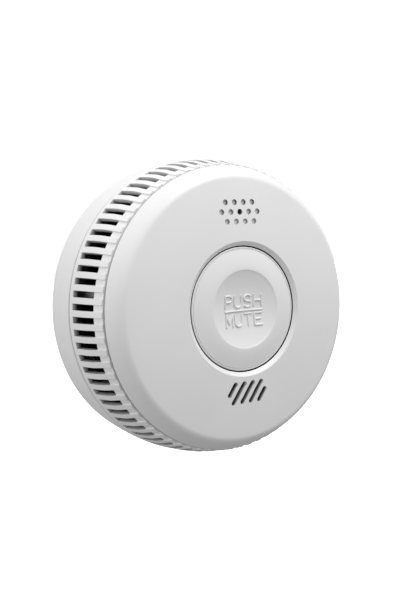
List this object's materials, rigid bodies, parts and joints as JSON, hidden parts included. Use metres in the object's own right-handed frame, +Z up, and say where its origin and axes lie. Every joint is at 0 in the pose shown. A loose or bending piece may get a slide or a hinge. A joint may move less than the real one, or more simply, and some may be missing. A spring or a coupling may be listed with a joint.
{
  "type": "smoke detector",
  "caption": "Round battery smoke alarm with a slotted vent ring, a central test button and a bayonet wall bracket.",
  "frame": {"origin": "centre of the mounting bracket's back face, where it lies on the wall", "axes": "+Y points into the wall, so the alarm stands out along -Y; +Z is up as the face is read; +X is to the right of someone facing the alarm"},
  "size_m": [0.0998, 0.0418, 0.0998],
  "materials": {
    "shell_abs": "satin moulded white ABS",
    "button_abs": "satin moulded white ABS",
    "bracket_abs": "plain moulded white ABS",
    "board": "green solder mask",
    "black_plastic": "matt black moulding",
    "coil_wire": "enamelled copper winding",
    "capacitor_sleeve": "shrunk sleeve",
    "screen_steel": "woven wire",
    "zinc_steel": "bright zinc",
    "piezo_brass": "bright",
    "clear_acrylic": "polished clear",
    "red_lens": "tinted lens",
    "battery_wrap": "satin printed can, left blank",
    "red_wire": "insulated wire",
    "black_wire": "insulated wire"
  },
  "bodies": {
    "bracket": {"mounting_bracket": "bracket_abs"},
    "alarm": {"rear_housing": "shell_abs", "vent_ring": "shell_abs", "front_cover": "shell_abs", "circuit_board": "board", "microcontroller": "black_plastic", "horn_coil": "coil_wire", "capacitor_large": "capacitor_sleeve", "capacitor_small": "capacitor_sleeve", "transistor": "black_plastic", "switch_body": "zinc_steel", "status_led": "red_lens", "light_pipe": "clear_acrylic", "chamber_base": "black_plastic", "chamber_lid": "black_plastic", "insect_screen": "screen_steel", "infrared_led": "clear_acrylic", "photodiode": "black_plastic", "horn_cap": "black_plastic", "piezo_disc": "piezo_brass", "horn_chamber": "black_plastic", "horn_wire_red": "red_wire", "horn_wire_black": "black_wire", "battery_case": "battery_wrap", "battery_positive_stud": "zinc_steel", "battery_negative_stud": "zinc_steel", "battery_contact_positive": "zinc_steel", "battery_contact_negative": "zinc_steel", "housing_screw_1": "zinc_steel", "housing_screw_2": "zinc_steel", "housing_screw_3": "zinc_steel"},
    "button": {"test_button": "button_abs"},
    "plunger": {"switch_plunger": "black_plastic"}
  },
  "joints": [
    {"name": "bayonet_twist", "type": "hinge", "parent": "bracket", "child": "alarm", "pos_m": [0, 0, 0], "axis": [0, -1, 0], "range_deg": [0, 15]},
    {"name": "button_press", "type": "slide", "parent": "alarm", "child": "button", "axis": [0, 1, 0], "range_m": [0, 0.0008], "stiffness_N_per_m": 2500},
    {"name": "plunger_press", "type": "slide", "parent": "alarm", "child": "plunger", "axis": [0, 1, 0], "range_m": [0, 0.0008]}
  ],
  "couplings": [
    {"joint": "plunger_press", "follows": "button_press", "ratio": 1}
  ]
}
